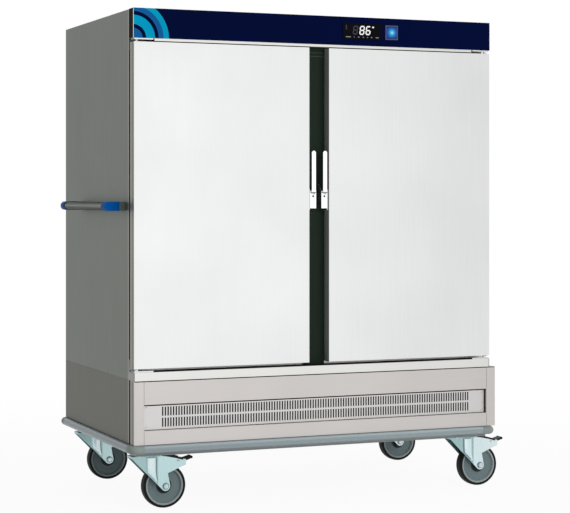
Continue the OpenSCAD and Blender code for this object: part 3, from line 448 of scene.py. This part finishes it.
for corner in ("front_left", "front_right", "rear_left", "rear_right"):
    swivel, roller = "swivel_" + corner, "roller_" + corner
    axle = pivot[roller]
    fork_low, fork_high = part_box("fork_" + corner)
    wheel_form = turned(both_sides(WHEEL_HALF), axle)
    # The hub, inside HUB_OUTSIDE, is painted shade, dark as the shadow in the hub's recess.
    for face in wheel_form.faces:
        off = face.calc_center_median() - axle
        reach = (off.x ** 2 + off.z ** 2) ** 0.5
        face.material_index = 1 if reach > RIM_INSIDE else 2 if reach < HUB_OUTSIDE else 0
    piece(wheel_form, "wheel_ringed_" + corner, [wheel_grey, rim_grey, hub_painted_shade], roller,
          ["wheel_" + corner], crease=50)
    piece(turned(both_sides(TYRE_HALF), axle, 96), "tyre_crowned_" + corner, tyre_black, roller,
          ["tyre_" + corner], crease=60)

    crown = pivot[swivel].copy()
    crown.z = 0
    fork_form = merged_copy("fork_" + corner)
    round_edges(fork_form, 1.2 * MM, 3)
    # Right of the fold the fork's side gets painted light: a painted highlight on the right-hand
    # casters and painted half light on the left-hand ones.
    fold = crown + Vector((33 * MM, 0, 0))
    cut(fork_form, fold, (1, 0, 0))
    for face in fork_form.faces:
        face.material_index = 1 if face.calc_center_median().x > fold.x else 0
    painted_lit_wing = passivated_painted_half_light if corner.endswith("left") else passivated_painted_highlight
    piece(fork_form, "fork_formed_" + corner, [passivated, painted_lit_wing], swivel,
          ["fork_" + corner])
    if corner.startswith("front"):
        strips = bmesh.new()
        bends = [crown + Vector((across, 0, up)) * MM for across, up in PEDAL_STRIP]
        for way in (-1, 1):
            for start, end in zip(bends, bends[1:]):
                half = (end - start).length / 2 + 0.8 * MM
                made = slab(strips, (-half, -3 * MM, -3.4 * MM), (half, 3 * MM, 3.4 * MM))
                turn = Vector((1, 0, 0)).rotation_difference((end - start).normalized())
                centre = (start + end) / 2 + Vector((0, way * 29 * MM, 0))
                bmesh.ops.transform(strips, verts=made,
                                    matrix=Matrix.Translation(centre) @ turn.to_matrix().to_4x4())
        round_edges(strips, 0.8 * MM, 2)
        piece(strips, "pedal_side_strips_" + corner, pedal_black, swivel)
    side_y = (fork_high.y - fork_low.y) / 2 - AXLE_PROUD
    for way, hand in ((-1, "left"), (1, "right")):
        rib = bmesh.new()
        sheet = crown + Vector((0, way * (side_y - 1 * MM), 0))
        for low_x, high_x, z, proud in RIB_ROWS:
            ring = bmesh.ops.create_circle(rib, segments=RIB_STEPS, radius=1)["verts"]
            bmesh.ops.scale(rib, verts=ring, vec=((high_x - low_x) / 2 * MM, proud * MM, 1))
            middle = Vector(((low_x + high_x) / 2, 0, z)) * MM
            bmesh.ops.translate(rib, verts=ring, vec=sheet + middle)
        bmesh.ops.bridge_loops(rib, edges=rib.edges[:])
        cut(rib, sheet, (0, -way, 0), dist=0.001 * MM, clear_outer=True)
        bmesh.ops.holes_fill(rib, edges=rib.edges[:], sides=0)
        bmesh.ops.recalc_face_normals(rib, faces=rib.faces)
        # Painted light on the rib: faces turned to the right get painted shade, faces turned to the
        # left the plain zinc, and the middle a painted highlight.
        for face in rib.faces:
            face.material_index = 1 if face.normal.x > 0.3 else 0 if face.normal.x < -0.3 else 2
        piece(rib, f"fork_rib_{corner}_{hand}", [passivated, passivated_painted_shade, passivated_painted_highlight],
              swivel, crease=30)

    fittings = bmesh.new()
    for way in (-1, 1):
        axle_end = axle + Vector((0, way * (side_y + AXLE_PROUD), 0))
        stud(fittings, axle_end, 6.6, 2.2, (0, way, 0), sides=6)
        # The washer under each nut is painted shade, a dark ring round the nut.
        old = set(fittings.faces)
        stud(fittings, axle_end - Vector((0, way * AXLE_PROUD, 0)), 12.5, 1.2, (0, way, 0))
        for face in fittings.faces:
            if face not in old:
                face.material_index = 1
        if corner.startswith("front"):
            rivet = pivot["brake_" + corner].copy()
            rivet.y += way * side_y
            stud(fittings, rivet, 5, 2, (0, way, 0), dome=0.5)
    piece(fittings, "axle_nuts_" + corner, [bolt_zinc, passivated_painted_shade], swivel,
          crease=30)

    bolts = bmesh.new()
    for across in (-40, 40):
        for back in (-32, 32):
            seat = Vector((crown.x + across * MM, crown.y + back * MM, plate_top - PLATE_THICK))
            stud(bolts, seat, 8, 1.2, (0, 0, -1))
            stud(bolts, seat - Vector((0, 0, 1.2 * MM)), 6.5, 5, (0, 0, -1), sides=6)
    round_edges(bolts, 0.4 * MM)
    piece(bolts, "plate_bolts_" + corner, bolt_zinc, "cabinet", crease=30)
for corner in ("front_left", "front_right"):
    rounded("pedal_" + corner, pedal_black, 1.3 * MM, 3)

# ---- Base ----
# A machine base of folded sheet. The front frame stands around a recessed panel
# punched with two rows of slots; its columns are joined to the rails by fine seams.
# The base sides' steel is far darker than the front steel: partly painted shade of the shaded left
# side.
base_casing_painted_shade = ground_steel("base_casing_steel_painted_shade", (0.150, 0.152, 0.136), 0.45,
                           metallic=0.8, edge=0.68)
base_front = ground_steel("base_front_steel", (0.545, 0.52, 0.505), 0.36, grain="x")
# The outer ends and returns facing sideways get a darker steel: painted shade.
return_painted_shade = ground_steel("return_steel_painted_shade", (0.43, 0.415, 0.38), 0.4, edge=0.3)
louvre_steel = ground_steel("louvre_steel_punched", (0.59, 0.575, 0.565), 0.38, grain="x")
# Painted shadow, for the seams and for the gaps behind the doors.
painted_seam_shadow = moulded("seam_painted_shadow", (0.014, 0.013, 0.012), 0.6, specular=0.06)
inlet_black = moulded("inlet_black_plastic", (0.02, 0.02, 0.02), 0.45)
rounded("base_tray", base_casing_painted_shade, 0.8 * MM)
coat("power_inlet", inlet_black)
# A lighter strip along the folded front edge of each side sheet: a painted highlight.
hem_painted_highlight = ground_steel("folded_hem_painted_highlight", (0.29, 0.30, 0.28), 0.42, metallic=0.8, edge=0.82)
case_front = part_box("base_side_left")[0].y
hem_end = case_front + 10 * MM


def on_hem_highlight(normal, centre):
    """The folded front edge of a side sheet, which gets a painted highlight."""
    return abs(normal.x) > 0.95 and centre.y < hem_end


for panel in ("base_side_left", "base_side_right"):
    sheet = rounded(panel, base_casing_painted_shade, 0.8 * MM, cuts=(hem_end,))
    second_finish(sheet, hem_painted_highlight, on_hem_highlight)

# Each outer return of the front frame and of the doors shows a fine bend line, a band of painted
# shade.
door_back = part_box("door_left_core")[1].y
bend = (door_back - 31 * MM, door_back - 26 * MM)
bend_painted_shade = ground_steel("return_bend_painted_shade", (0.20, 0.19, 0.18), 0.45, edge=0.3)
front_frame = rounded("base_front_frame", base_front, 1.6 * MM, 3, cuts=bend,
                      returns=(return_painted_shade, return_painted_shade), reach=60 * MM)
second_finish(front_frame, bend_painted_shade, lambda normal, centre:
              abs(normal.x) > 0.95 and bend[0] < centre.y < bend[1])
# The back faces of the frame, in the gap behind the doors, get painted shadow.
second_finish(front_frame, painted_seam_shadow, lambda normal, centre: centre.y > door_back - 1.5 * MM)

base_low, base_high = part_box("base_front_frame")
louvre_low, louvre_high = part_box("louvre_panel")
COLUMN, SEAM_TOP = 37 * MM, 3 * MM
seam_y = base_low.y - 0.15 * MM
# The column seams are dark strips of painted shadow.
seams = bmesh.new()
for x in (base_low.x + COLUMN, base_high.x - COLUMN):
    for low_z, high_z in ((louvre_high.z + 1 * MM, base_high.z - SEAM_TOP),
                          (base_low.z + 3 * MM, louvre_low.z - 1 * MM)):
        slab(seams, (x - 0.5 * MM, seam_y, low_z), (x + 0.5 * MM, base_low.y + 0.5 * MM, high_z))
slab(seams, (base_low.x + 2 * MM, seam_y, base_high.z - SEAM_TOP),
     (base_high.x - 2 * MM, base_low.y + 2 * MM, base_high.z))
round_edges(seams, 0.2 * MM)
piece(seams, "base_column_seams", painted_seam_shadow, "cabinet")

# The punched panel: the walls of its slots get painted shade.
punched = merged_copy("louvre_panel")
for face in punched.faces:
    middle = face.calc_center_median()
    in_x = louvre_low.x + 20 * MM < middle.x < louvre_high.x - 20 * MM
    in_z = louvre_low.z + 5 * MM < middle.z < louvre_high.z - 5 * MM
    face.material_index = 1 if in_x and in_z and abs(face.normal.y) < 0.5 else 0
slot_wall_painted_shade = moulded("louvre_slot_wall_painted_shade", (0.008, 0.007, 0.007), 0.6, specular=0.05)
piece(punched, "louvre_panel_punched", [louvre_steel, slot_wall_painted_shade], "cabinet",
      ["louvre_panel"])

# The narrow joint around the punched panel, a strip of painted shadow, and a black sheet of painted
# shade behind its slots.
joint = bmesh.new()
left_in, right_in = base_low.x + COLUMN, base_high.x - COLUMN
for low_x, high_x, low_z, high_z in (
    (left_in, right_in, louvre_high.z - 7.5 * MM, louvre_high.z),
    (left_in, right_in, louvre_low.z, louvre_low.z + 3.2 * MM),
    (left_in, left_in + 2.2 * MM, louvre_low.z, louvre_high.z),
    (right_in - 3.5 * MM, right_in, louvre_low.z, louvre_high.z),
):
    slab(joint, (low_x, louvre_low.y - 1.5 * MM, low_z), (high_x, louvre_low.y + 0.5 * MM, high_z))
round_edges(joint, 0.2 * MM)
joint_painted_shadow = moulded("joint_brown_painted_shadow", (0.026, 0.019, 0.016), 0.6, specular=0.1)
piece(joint, "louvre_joint_painted_shadow", joint_painted_shadow, "cabinet")
# A black sheet behind the slots, painted shade for the dark inside of the base.
shade_sheet = bmesh.new()
slab(shade_sheet, (louvre_low.x + 60 * MM, louvre_high.y + 3 * MM, louvre_low.z + 6 * MM),
     (louvre_high.x - 60 * MM, louvre_high.y + 4.5 * MM, louvre_high.z - 6 * MM))
round_edges(shade_sheet, 0.5 * MM)
shade_sheet_black = moulded("slot_shade_sheet_black", (0.012, 0.012, 0.012), 0.9,
                       specular=0.05, grain=900, depth=0.6)
piece(shade_sheet, "louvre_slot_shade_sheet", shade_sheet_black, "cabinet")

screws = bmesh.new()
for x in (louvre_low.x + 14 * MM, louvre_high.x - 14 * MM):
    for z in (louvre_low.z + 14 * MM, louvre_high.z - 14 * MM):
        stud(screws, Vector((x, louvre_low.y, z)), 3.2, 1.1, (0, -1, 0), dome=0.35)
back_low, back_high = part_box("back_panel")
for x in (back_low.x + 25 * MM, (back_low.x + back_high.x) / 2, back_high.x - 25 * MM):
    for z in (back_low.z + 30 * MM, (back_low.z + back_high.z) / 2, back_high.z - 30 * MM):
        stud(screws, Vector((x, back_high.y, z)), 4.5, 1.6, (0, 1, 0), dome=0.35)
piece(screws, "panel_screws", bolt_zinc, "cabinet", crease=30)

# ---- Casing ----
# Side, back and roof sheets around slabs of rigid foam, with the floor and its
# sill folded from one sheet under them.
# The casing steel is far darker than the door steel: partly painted shade of the shaded left side.
casing_painted_shade = ground_steel("casing_steel_painted_shade", (0.172, 0.188, 0.167), 0.44, metallic=0.8, edge=0.74)
sill_steel = ground_steel("sill_steel", (0.67, 0.67, 0.65), 0.34, grain="x")
foam = moulded("insulation_foam_cream", (0.80, 0.70, 0.42), 0.9, grain=900, depth=0.5)
for panel in ("back_panel", "roof_panel"):
    rounded(panel, casing_painted_shade, 0.8 * MM)
for panel in ("side_panel_left", "side_panel_right"):
    sheet = rounded(panel, casing_painted_shade, 0.8 * MM, cuts=(hem_end,))
    second_finish(sheet, hem_painted_highlight, on_hem_highlight)
    # The side sheets' front faces behind the doors get painted shadow.
    second_finish(sheet, painted_seam_shadow, lambda normal, centre:
                  normal.y < -0.95 and centre.y > door_back)
rounded("cabinet_floor", sill_steel, 1.5 * MM, 3, returns=(return_painted_shade, return_painted_shade))
coat("insulation_slabs", foam)

# A rubber threshold lies on the sill, behind the lower edges of the doors.
hinge_low, hinge_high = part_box("hinge_brackets")
HINGE_REACH = 75 * MM
threshold = bmesh.new()
slab(threshold, (hinge_low.x + HINGE_REACH, hinge_low.y + 1 * MM, hinge_low.z),
     (hinge_high.x - HINGE_REACH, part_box("centre_post")[0].y - 1 * MM, hinge_low.z + 2 * MM))
round_edges(threshold, 0.6 * MM)
threshold_black = moulded("threshold_black_rubber", (0.008, 0.008, 0.007), 0.7, specular=0.08)
piece(threshold, "door_threshold", threshold_black, "cabinet")

# ---- Inside ----
# Smooth stainless liner, the hollow wall between the compartments with its rows of
# air holes, and the racks of flat runners that carry the trays.
inner_steel = ground_steel("inner_steel", (0.62, 0.63, 0.63), 0.30, metallic=0.9)
for node in ("inner_liner", "centre_duct", "tray_racks", "water_tray"):
    coat(node, inner_steel)

# ---- Fan and heater ----
# A grey coated motor in the base turns a bladed wheel of thin sheet. A rod with a
# heat-tinted steel sheath is fixed in the water tray.
motor_grey = moulded("motor_grey_coat", (0.05, 0.052, 0.055), 0.5)
fan_metal = ground_steel("fan_metal", (0.62, 0.63, 0.64), 0.35)
heater_tint = ground_steel("heater_tinted_sheath", (0.34, 0.24, 0.17), 0.35)
coat("fan_motor", motor_grey)
coat("fan_wheel", fan_metal)
coat("heating_rod", heater_tint)

# ---- Centre post ----
# The dark plastic post between the doors, screwed to the end of the hollow wall. Two
# lighter ribs are moulded across its upper end.
post_dark = moulded("post_dark_plastic", (0.010, 0.019, 0.012), 0.5, specular=0.12)
post_rib = moulded("post_rib_grey", (0.045, 0.062, 0.050), 0.5, specular=0.15)
coat("centre_post", post_dark)
post_low, post_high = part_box("centre_post")
ribs = bmesh.new()
for z in (post_high.z - 19 * MM, post_high.z - 32 * MM):
    slab(ribs, (post_low.x + 1 * MM, post_low.y - 1.2 * MM, z - 1.5 * MM),
         (post_high.x - 1 * MM, post_low.y + 1 * MM, z + 1.5 * MM))
round_edges(ribs, 0.4 * MM)
piece(ribs, "centre_post_ribs", post_rib, "cabinet")

# ---- Doors ----
# Each door is a folded stainless skin filled with foam, closed by a back sheet with
# a pressed pan, and it has a soft black seal all round its back.
door_steel = ground_steel("door_steel_satin", (0.70, 0.71, 0.705), 0.33)
# The inner returns, facing the channel between the doors, are a darker steel: painted shade.
inner_return_painted_shade = ground_steel("door_inner_return_painted_shade", (0.36, 0.39, 0.36), 0.5, metallic=0.2)
pan_steel = ground_steel("door_pan_steel", (0.62, 0.63, 0.63), 0.32)
seal_black = moulded("seal_black_rubber", (0.02, 0.02, 0.02), 0.6)
bush_grey = moulded("bush_grey_plastic", (0.075, 0.08, 0.08), 0.5)
for side in ("left", "right"):
    body = "door_" + side
    outer = (return_painted_shade, inner_return_painted_shade) if side == "left" else (inner_return_painted_shade, return_painted_shade)
    skin = rounded(body + "_skin", door_steel, 2.4 * MM, 3, returns=outer, cuts=bend)
    hinge_side = -1 if side == "left" else 1
    second_finish(skin, bend_painted_shade, lambda normal, centre:
                  normal.x * hinge_side > 0.95 and bend[0] < centre.y < bend[1])
    core = rounded(body + "_core", pan_steel, 0.8 * MM)
    # The door core's side faces, in the gap round the door, get painted shadow.
    second_finish(core, painted_seam_shadow, lambda normal, centre: abs(normal.x) > 0.95)
    rounded(body + "_seal", seal_black, 2.0 * MM, 3)
    coat(body + "_bushes", bush_grey)
    seal_low, seal_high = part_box(body + "_seal")
    pan = bmesh.new()
    slab(pan, (seal_low.x + 24 * MM, seal_low.y - 0.5 * MM, seal_low.z + 24 * MM),
         (seal_high.x - 24 * MM, seal_low.y + 7 * MM, seal_high.z - 24 * MM))
    front = [f for f in pan.faces if f.normal.y > 0.9]
    bmesh.ops.inset_region(pan, faces=front, thickness=10 * MM, depth=0)
    round_edges(pan, 5 * MM, 4)
    piece(pan, body + "_pan", pan_steel, body)

# ---- Corner hinges ----
# Flat zinc-plated steel plates, screwed on the sill and under the fascia, hold the
# upright pins on which the doors turn. The latch strikes are of the same steel.
hinge_zinc = ground_steel("hinge_zinc_plate", (0.66, 0.67, 0.66), 0.30)
rounded("hinge_brackets", hinge_zinc, 0.8 * MM,
        returns=(return_painted_shade, return_painted_shade), reach=4 * MM)
for node in ("hinge_pins", "latch_strikes"):
    coat(node, hinge_zinc)

# ---- Latches ----
# Polished latches on the inner door edges: a body with rising side cheeks, and a
# long lever that is pulled down and forwards. A dark pin shows low on its front.
chrome = ground_steel("latch_polished_chrome", (0.81, 0.815, 0.82), 0.14)
pin_dark_and_painted_shadow = moulded("latch_pin_and_painted_shadow", (0.012, 0.012, 0.012), 0.5, specular=0.15)
# The pin sits under the lever's lower end; a band of painted shadow sits above that end.
PIN_DROP, LEVER_SHADOW_BAND = 9.6 * MM, (3.4 * MM, 6.2 * MM)
for side in ("left", "right"):
    rounded(f"latch_{side}_body", chrome, 1.6 * MM, 3)
    rounded(f"latch_{side}_lever", chrome, 0.8 * MM, 3)
    body_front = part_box(f"latch_{side}_body")[0].y
    lever_low, lever_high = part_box(f"latch_{side}_lever")
    middle = (lever_low.x + lever_high.x) / 2
    dot = bmesh.new()
    stud(dot, Vector((middle, body_front, lever_low.z - PIN_DROP)), 3.9, 0.8, (0, -1, 0), dome=0.3)
    lever_shadow_band = bmesh.new()
    slab(lever_shadow_band, (lever_low.x - 0.4 * MM, lever_low.y - 0.2 * MM, lever_low.z + LEVER_SHADOW_BAND[0]),
         (lever_high.x + 0.4 * MM, lever_low.y + 9 * MM, lever_low.z + LEVER_SHADOW_BAND[1]))
    round_edges(lever_shadow_band, 0.4 * MM)
    piece(lever_shadow_band, f"latch_{side}_lever_painted_shadow", pin_dark_and_painted_shadow, "lever_" + side)
    piece(dot, f"latch_{side}_pin", pin_dark_and_painted_shadow, "door_" + side)

# ---- Fascia ----
# A folded steel housing carries a deep blue printed film. At its left end the film
# has rings in two lighter blues.
film_low, film_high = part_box("fascia_panel")
# The housing's end faces are painted shade; its back and top take the casing steel.
painted_housing_end_shade = ground_steel("housing_end_painted_shade", (0.055, 0.050, 0.043), 0.5, edge=0.1)
housing = merged_copy("fascia_housing")
round_edges(housing, 0.8 * MM)
for face in housing.faces:
    behind = face.normal.z > 0.5 or face.normal.y > 0.5
    face.material_index = 1 if abs(face.normal.x) > 0.9 else 2 if behind else 0
piece(housing, "fascia_housing_formed", [sill_steel, painted_housing_end_shade, casing_painted_shade], "cabinet",
      ["fascia_housing"])


def printed_film():
    """Navy film with rings of lighter blues around its lower left corner."""
    made, tree, shader = principled("fascia_printed_film")
    place = tree.nodes.new("ShaderNodeTexCoord")
    centre = wire(tree, "Mapping", Vector=place.outputs["Object"],
                  Location=(-film_low.x, 0, -film_low.z), Scale=(1, 0, 1))
    reach = wire(tree, "VectorMath", operation="LENGTH", in_0=centre.outputs[0])
    ring = spread(tree, reach.outputs["Value"], 0, 1, 0.0, 200 * MM)
    navy, blue, cyan = (0.0003, 0.0034, 0.037, 1), (0.009, 0.125, 0.36, 1), (0.001, 0.37, 0.62, 1)
    rings = bands(tree, ring, [(0.0, blue), (0.17, navy), (0.235, cyan), (0.40, navy),
                               (0.465, blue), (0.56, cyan), (0.66, navy)], "CONSTANT")
    clouds = object_noise(tree, 5, 2)
    tree.links.new(tinted(tree, rings, clouds, 0.04), shader.inputs["Base Color"])
    tree.links.new(spread(tree, clouds, 0.42, 0.5), shader.inputs["Roughness"])
    shader.inputs["Specular IOR Level"].default_value = 0.02
    return made


film = bmesh.new()
slab(film, (film_low.x + 2 * MM, film_low.y, film_low.z + 0.5 * MM),
     (film_high.x - 2 * MM, film_high.y, film_high.z - 0.1 * MM))
round_edges(film, 0.4 * MM)
piece(film, "fascia_film", printed_film(), "cabinet", ["fascia_panel"])
strips = bmesh.new()
for x0 in (film_low.x, film_high.x - 1.8 * MM):
    slab(strips, (x0, film_low.y, film_low.z), (x0 + 1.8 * MM, film_high.y, film_high.z))
round_edges(strips, 0.6 * MM, 3)
piece(strips, "fascia_end_strips", door_steel, "cabinet")

# ---- Display ----
# A smoked window over a small control board: slanted seven-segment digits, an unlit
# digit beside them, and a row of small symbols under them.
glass_low, glass_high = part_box("display_window")
window_black = moulded("display_smoked_window", (0.0018, 0.0018, 0.004), 0.25,
                       specular=0.04, depth=0.0)


def lit(name, colour, strength):
    """A lit mark behind the window."""
    made, tree, shader = principled(name)
    glow = object_noise(tree, 60, 2)
    tree.links.new(tinted(tree, colour, glow, 0.04), shader.inputs["Emission Color"])
    shader.inputs["Base Color"].default_value = (0.02, 0.02, 0.02, 1)
    shader.inputs["Specular IOR Level"].default_value = 0.05
    shader.inputs["Emission Strength"].default_value = strength
    return made


window = bmesh.new()
slab(window, glass_low, glass_high)
round_edges(window, 1.2 * MM, 3)
piece(window, "display_smoked_glass", window_black, "cabinet", ["display_window"])

SEGMENTS = {"a": (0, 1, False), "b": (0.5, 0.5, True), "c": (0.5, -0.5, True), "d": (0, -1, False),
            "e": (-0.5, -0.5, True), "f": (-0.5, 0.5, True), "g": (0, 0, False)}
DIGIT_W, DIGIT_H, STROKE, SLANT = 15.5 * MM, 29 * MM, 4.6 * MM, 0.12
face_y = glass_low.y - 0.02 * MM


def bar(form, x, z, length, thick, upright=False):
    """Adds one flat bar with pointed ends, facing forwards."""
    half, point = length / 2, thick / 2
    outline = [(-half, 0), (point - half, -point), (half - point, -point),
               (half, 0), (half - point, point), (point - half, point)]
    if upright:
        outline = [(-b, a) for a, b in outline]
    corners = [form.verts.new((x + a, 0, z + b)) for a, b in outline]
    face = form.faces.new(corners)
    grown = bmesh.ops.extrude_face_region(form, geom=[face])
    moved = [v for v in grown["geom"] if isinstance(v, bmesh.types.BMVert)]
    bmesh.ops.translate(form, verts=moved, vec=(0, -0.25 * MM, 0))


def digit(form, x, z, lit_segments):
    """Adds the named segments of one digit around its middle, slanted to the right."""
    old = set(form.verts)
    for letter in lit_segments:
        across, up, upright = SEGMENTS[letter]
        length = (DIGIT_H / 2 if upright else DIGIT_W) - 0.8 * MM
        bar(form, across * DIGIT_W, up * DIGIT_H / 2, length, STROKE, upright)
    for v in form.verts:
        if v not in old:
            v.co.x += v.co.z * SLANT
            v.co += Vector((x, face_y, z))


def mark(form, x, z, length, thick, upright=False):
    """Adds one bar on the window's face."""
    old = set(form.verts)
    bar(form, x, z, length, thick, upright)
    for v in form.verts:
        if v not in old:
            v.co.y += face_y


mid_z = (glass_low.z + glass_high.z) / 2
digits = bmesh.new()
digit(digits, glass_low.x + 78 * MM, mid_z + 4.5 * MM, "abcdefg")
digit(digits, glass_low.x + 103 * MM, mid_z + 4.5 * MM, "acdefg")
mark(digits, glass_low.x + 123 * MM, mid_z + 17 * MM, 9 * MM, 6 * MM)
dim = bmesh.new()
digit(dim, glass_low.x + 51 * MM, mid_z + 4.5 * MM, "abcdefg")
mark(dim, glass_low.x + 14 * MM, mid_z + 14 * MM, 19 * MM, 4 * MM, True)
symbols = bmesh.new()
for x, length in ((22, 22), (46, 4), (64, 8), (83, 6), (100, 5), (117, 7), (140, 14)):
    mark(symbols, glass_low.x + x * MM, glass_low.z + 9 * MM, length * MM, 3 * MM)
for form, name, finish in (
    (digits, "display_digits", lit("display_lit_white", (1.0, 1.0, 1.0), 0.95)),
    # The unlit digit is given a faint glow of painted light.
    (dim, "display_unlit_digit", lit("display_unlit_painted_glow", (0.05, 0.055, 0.08), 0.6)),
    (symbols, "display_symbols", lit("display_symbol_grey", (0.42, 0.44, 0.5), 0.6)),
):
    bmesh.ops.recalc_face_normals(form, faces=form.faces)
    piece(form, name, finish, "cabinet", crease=20)

# ---- Rocker switch ----
# A grey moulded frame, pressed into the fascia, around a translucent blue rocker. A
# lamp lights the rocker from behind, and it is brightest in its middle.
rocker_low, rocker_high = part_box("rocker_switch")
frame_grey = moulded("switch_frame_grey", (0.085, 0.10, 0.19), 0.45, specular=0.15)
rounded("switch_frame", frame_grey, 1.2 * MM, 3)


def lit_rocker():
    """Translucent blue plastic with a lamp behind its middle."""
    made, tree, shader = principled("switch_lit_blue")
    middle = (rocker_low + rocker_high) / 2
    place = tree.nodes.new("ShaderNodeTexCoord")
    centre = wire(tree, "Mapping", Vector=place.outputs["Object"], Location=-middle)
    flat = wire(tree, "VectorMath", operation="MULTIPLY", in_0=centre.outputs[0], in_1=(1, 0, 1))
    reach = wire(tree, "VectorMath", operation="LENGTH", in_0=flat.outputs[0])
    lamp = bands(tree, spread(tree, reach.outputs["Value"], 0, 1, 0.0, 27 * MM), [
        (0.0, (0.75, 1.0, 1.0, 1)), (0.16, (0.16, 0.72, 1.0, 1)), (0.42, (0.018, 0.30, 0.75, 1)),
        (0.68, (0.006, 0.11, 0.46, 1)), (1.0, (0.004, 0.045, 0.26, 1))])
    tree.links.new(lamp, shader.inputs["Emission Color"])
    shader.inputs["Emission Strength"].default_value = 0.75
    shader.inputs["Base Color"].default_value = (0.004, 0.012, 0.03, 1)
    shader.inputs["Roughness"].default_value = 0.3
    shader.inputs["Specular IOR Level"].default_value = 0.1
    return made


rounded("rocker_switch", lit_rocker(), 1.2 * MM, 3)

# ---- Push handle ----
# A ground steel tube held between two blue moulded brackets, bolted to the left
# side sheet. The last 22 mm of each bracket, next to the sheet, is a greenish grey.
# The tube's light stripe and darker top and bottom are a painted highlight and painted shade.
TUBE_PAINTED_HIGHLIGHT = ((0.0, 0.055), (0.18, 0.11), (0.36, 0.2), (0.55, 0.35),
               (0.68, 0.27), (0.84, 0.14), (1.0, 0.06))
handle_painted_highlight = painted_highlight_bands("handle_tube_painted_highlight", "handle_tube", TUBE_PAINTED_HIGHLIGHT, (1.0, 1.08, 0.97),
                      roughness=0.31, metallic=0.85, grain=(400, 8, 400))
handle_blue = moulded("handle_blue_plastic", (0.0, 0.105, 0.43), 0.45, specular=0.04)
bracket_end_grey = moulded("handle_bracket_end_grey", (0.15, 0.18, 0.155), 0.5, specular=0.1)
rounded("handle_tube", handle_painted_highlight, 0.5 * MM)
brackets = merged_copy("handle_brackets")
round_edges(brackets, 4 * MM, 4)
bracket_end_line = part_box("handle_brackets")[1] - Vector((22 * MM, 0, 0))
cut(brackets, bracket_end_line, (1, 0, 0))
for face in brackets.faces:
    face.material_index = 1 if face.calc_center_median().x > bracket_end_line.x else 0
piece(brackets, "handle_brackets_formed", [handle_blue, bracket_end_grey], "cabinet",
      ["handle_brackets"])
